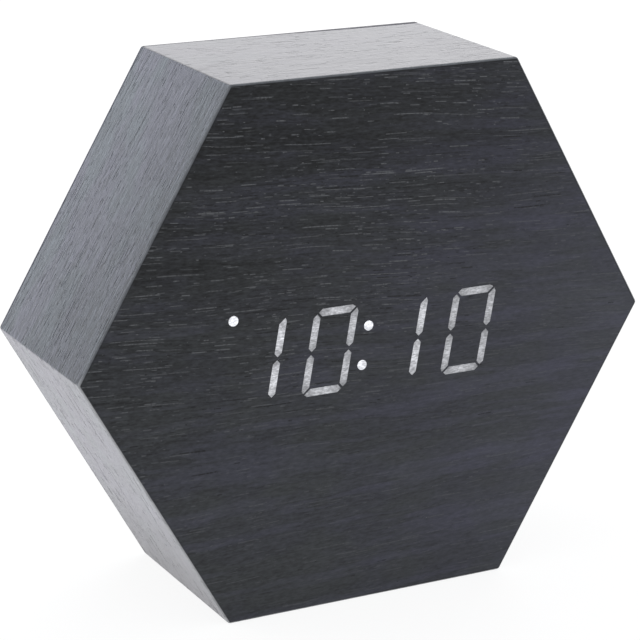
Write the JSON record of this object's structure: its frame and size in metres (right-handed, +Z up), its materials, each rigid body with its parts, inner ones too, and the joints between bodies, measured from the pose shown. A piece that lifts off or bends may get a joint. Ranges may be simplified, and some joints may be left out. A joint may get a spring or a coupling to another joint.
{
  "type": "digital alarm clock",
  "caption": "Hexagonal black wood-veneer desk clock; the time shines through the front, with buttons, power socket and battery bay behind.",
  "frame": {"origin": "on the surface the clock stands on, under the middle of the case", "axes": "+Z up, the display faces -Y, +X to the viewer's right"},
  "size_m": [0.1298, 0.042, 0.1126],
  "materials": {
    "black_veneer": "black stained open-pored veneer, satin",
    "fibreboard": "raw medium density fibreboard",
    "lit_plastic": "clear light guide, lit white",
    "black_plastic": "fine textured black moulding",
    "dark_plastic": "dark grey moulding",
    "board_lacquer": "green lacquered circuit board",
    "cream_nylon": "natural nylon",
    "bright_steel": "nickel-plated steel",
    "black_steel": "black oxide screw",
    "cell_sleeve": "plain printed sleeve",
    "grey_cable": "grey ribbon cable",
    "red_cable": "red wire",
    "black_cable": "black wire"
  },
  "bodies": {
    "case": {"side_panel_top": "black_veneer", "side_panel_upper_right": "black_veneer", "side_panel_lower_right": "black_veneer", "side_panel_bottom": "black_veneer", "side_panel_lower_left": "black_veneer", "side_panel_upper_left": "black_veneer", "front_veneer": "black_veneer", "front_board": "fibreboard", "digit_1_light_guide": "lit_plastic", "digit_2_light_guide": "lit_plastic", "digit_3_light_guide": "lit_plastic", "digit_4_light_guide": "lit_plastic", "colon_light_guide": "lit_plastic", "alarm_dot_light_guide": "lit_plastic", "display_light_box": "black_plastic", "rear_cover": "black_plastic", "dc_jack": "black_plastic", "buzzer": "black_plastic", "temperature_sensor": "black_plastic", "display_board": "board_lacquer", "main_board": "board_lacquer", "display_connector": "cream_nylon", "main_connector": "cream_nylon", "display_screw_1": "bright_steel", "display_screw_2": "bright_steel", "board_screw_1": "bright_steel", "board_screw_2": "bright_steel", "microphone": "bright_steel", "quartz_crystal": "bright_steel", "capacitor": "bright_steel", "positive_contact": "bright_steel", "link_contact_1": "bright_steel", "link_contact_2": "bright_steel", "negative_contact": "bright_steel", "battery_spring_1": "bright_steel", "battery_spring_2": "bright_steel", "battery_spring_3": "bright_steel", "cover_screw_1": "black_steel", "cover_screw_2": "black_steel", "cover_screw_3": "black_steel", "cover_screw_4": "black_steel", "cover_screw_5": "black_steel", "cover_screw_6": "black_steel", "battery_cell_1": "cell_sleeve", "battery_cell_2": "cell_sleeve", "battery_cell_3": "cell_sleeve", "ribbon_cable": "grey_cable", "battery_lead_red": "red_cable", "battery_lead_black": "black_cable", "controller_chip": "dark_plastic", "set_switch": "dark_plastic", "up_switch": "dark_plastic", "down_switch": "dark_plastic"},
    "set_button": {"set_button": "dark_plastic", "set_plunger": "bright_steel"},
    "up_button": {"up_button": "dark_plastic", "up_plunger": "bright_steel"},
    "down_button": {"down_button": "dark_plastic", "down_plunger": "bright_steel"},
    "battery_door": {"battery_door": "black_plastic"}
  },
  "joints": [
    {"name": "set_press", "type": "slide", "parent": "case", "child": "set_button", "axis": [0, -1, 0], "range_m": [0, 0.0005], "stiffness_N_per_m": 1000, "springref_m": -0.0005},
    {"name": "up_press", "type": "slide", "parent": "case", "child": "up_button", "axis": [0, -1, 0], "range_m": [0, 0.0005], "stiffness_N_per_m": 1000, "springref_m": -0.0005},
    {"name": "down_press", "type": "slide", "parent": "case", "child": "down_button", "axis": [0, -1, 0], "range_m": [0, 0.0005], "stiffness_N_per_m": 1000, "springref_m": -0.0005},
    {"name": "battery_door_hinge", "type": "hinge", "parent": "case", "child": "battery_door", "pos_m": [0, 0.0195, 0.01479], "axis": [-1, 0, 0], "range_deg": [0, 60]}
  ]
}
